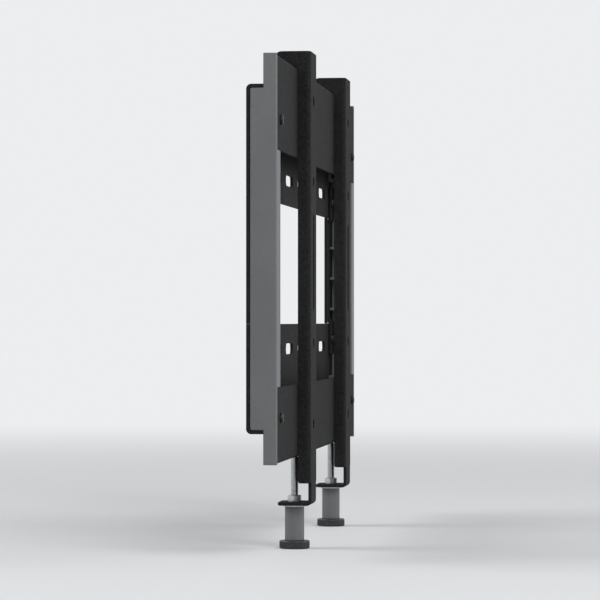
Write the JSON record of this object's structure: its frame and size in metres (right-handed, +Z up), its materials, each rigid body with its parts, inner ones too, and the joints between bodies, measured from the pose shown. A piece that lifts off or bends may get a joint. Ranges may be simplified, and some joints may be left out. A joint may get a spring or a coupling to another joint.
{
  "type": "fixed tv wall bracket",
  "caption": "Low-profile fixed wall bracket: folded steel rails and uprights with stepped grey end caps, and hooked hanger arms that lock under the lower rail.",
  "frame": {"origin": "centre of the fixing slots, in the plane that bears on the wall; the frame is centred on it in X and Z", "axes": "+X along the rails to the right as seen from the room, +Y into the wall, +Z up; the hanger arms face -Y"},
  "size_m": [0.43, 0.026, 0.307],
  "materials": {
    "black_coated_steel": "fine textured black powder coat on folded steel sheet",
    "grey_abs": "mid-grey moulded plastic with a fine spark-eroded texture",
    "black_abs": "black moulded plastic with a fine spark-eroded texture",
    "black_zinc_steel": "satin black zinc plating",
    "bright_zinc_steel": "bright zinc plating"
  },
  "bodies": {
    "root": {"upper_rail": "black_coated_steel", "lower_rail": "black_coated_steel", "left_upright": "black_coated_steel", "right_upright": "black_coated_steel", "upright_rivets": "black_zinc_steel", "left_end_cap": "grey_abs", "right_end_cap": "grey_abs", "cap_screws": "black_zinc_steel", "left_hanger_arm": "black_coated_steel", "right_hanger_arm": "black_coated_steel", "lock_nuts": "bright_zinc_steel", "lock_washers": "bright_zinc_steel", "lock_screws": "bright_zinc_steel", "lock_sleeves": "grey_abs", "lock_knobs": "black_abs"}
  },
  "joints": []
}
